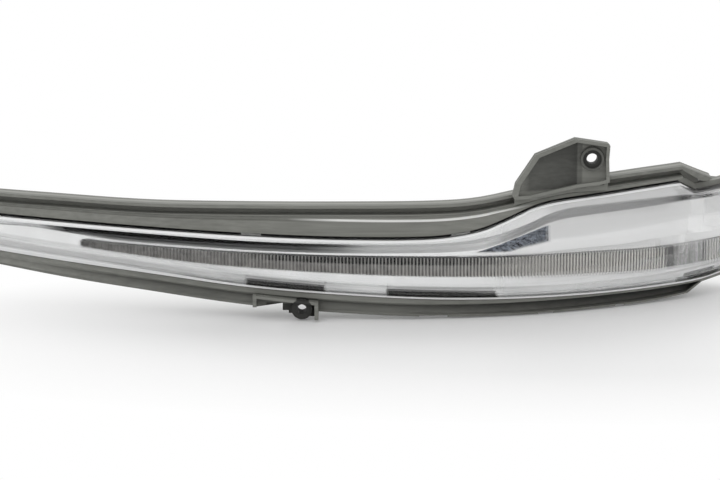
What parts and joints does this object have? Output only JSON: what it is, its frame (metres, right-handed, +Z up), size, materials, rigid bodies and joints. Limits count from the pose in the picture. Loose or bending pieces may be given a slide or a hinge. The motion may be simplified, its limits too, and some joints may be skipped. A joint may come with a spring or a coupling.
{
  "type": "vehicle indicator lamp",
  "caption": "Slim curved turn-signal lamp for a wing mirror: grey moulded housing with two screw lugs, clear lens, mirror-finish trim and a fluted light bar.",
  "frame": {"origin": "on the axis of the upper screw hole, at the front face of its ring where the screw head seats", "axes": "+X along the lamp towards the tail, +Y away from the viewer of the lens, +Z up"},
  "size_m": [0.2602, 0.0631, 0.0566],
  "materials": {
    "housing": "satin moulded plastic, olive grey",
    "lens": "polished clear acrylic",
    "seal": "soft pale bead",
    "trim": "metallised mirror finish",
    "light_guide": "clear fluted acrylic",
    "carrier": "black moulded plastic",
    "board": "green circuit board",
    "led": "white package with yellow phosphor",
    "chip": "black epoxy",
    "ceramic_part": "tan ceramic",
    "ribbon": "amber film",
    "pin": "plated contact",
    "screw": "zinc plated",
    "vent": "black moulded plastic"
  },
  "bodies": {
    "root": {"rear_housing": "housing", "outer_lens": "lens", "lens_seal": "seal", "reflector_bezel": "trim", "fluted_light_bar": "light_guide", "end_optic": "light_guide", "tail_light_bar": "light_guide", "inner_carrier": "carrier", "main_circuit_board": "board", "tail_circuit_board": "board", "main_leds": "led", "tail_leds": "led", "driver_chip": "chip", "rectifier_diodes": "chip", "chip_resistors": "chip", "filter_capacitor": "ceramic_part", "board_link_ribbon": "ribbon", "connector_pins": "pin", "carrier_screws": "screw", "vent_cap": "vent"}
  },
  "joints": []
}
